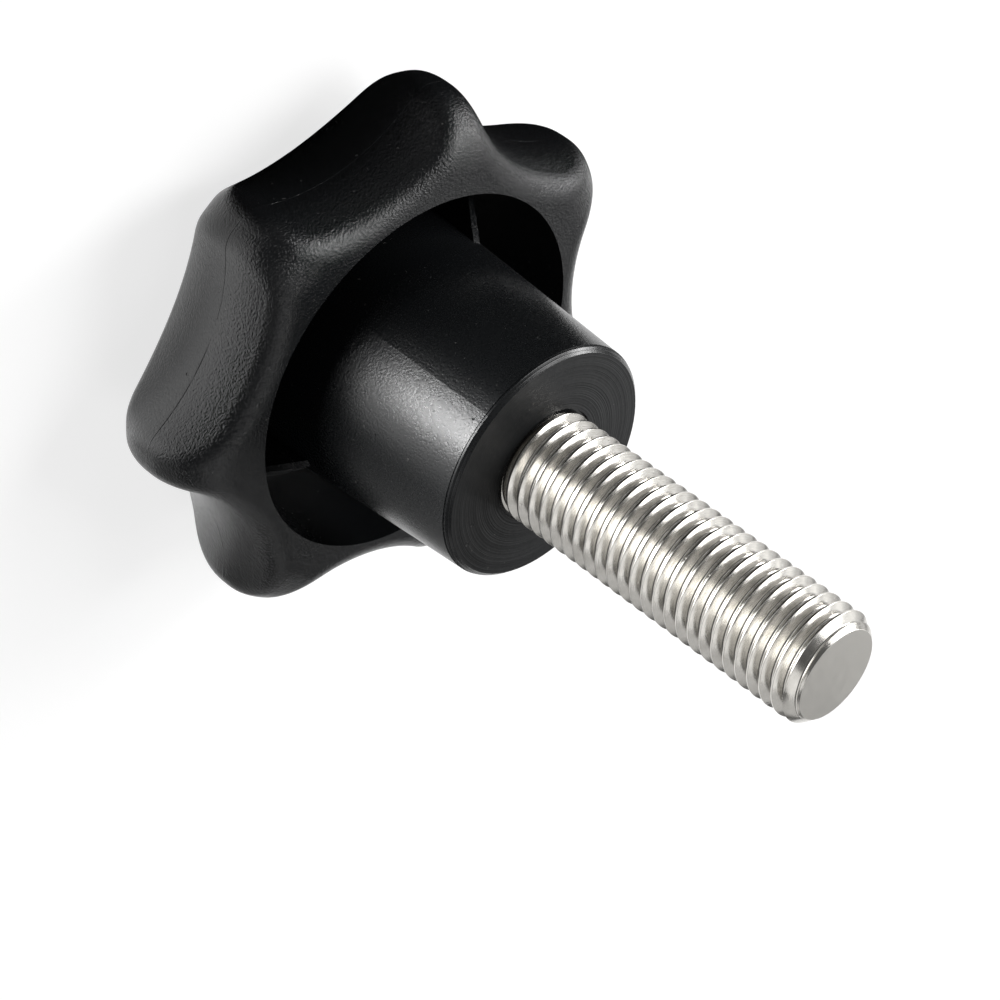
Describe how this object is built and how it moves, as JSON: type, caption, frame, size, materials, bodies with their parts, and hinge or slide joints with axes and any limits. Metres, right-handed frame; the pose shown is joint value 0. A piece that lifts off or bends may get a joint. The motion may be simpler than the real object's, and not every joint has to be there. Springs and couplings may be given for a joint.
{
  "type": "star knob",
  "caption": "Lobed star grip knob with a tapered hub and a projecting threaded steel stud, for clamping by hand.",
  "frame": {"origin": "centre of the flat head face, on the knob's axis", "axes": "+Z along the stud towards its tip, +X through the middle of one lobe"},
  "size_m": [0.0744, 0.076, 0.0974],
  "materials": {
    "knob": "fine-grained black moulded plastic, smoother on the hub",
    "stud": "bright rolled stainless steel"
  },
  "bodies": {
    "root": {"knob": "knob", "stud": "stud"}
  },
  "joints": []
}
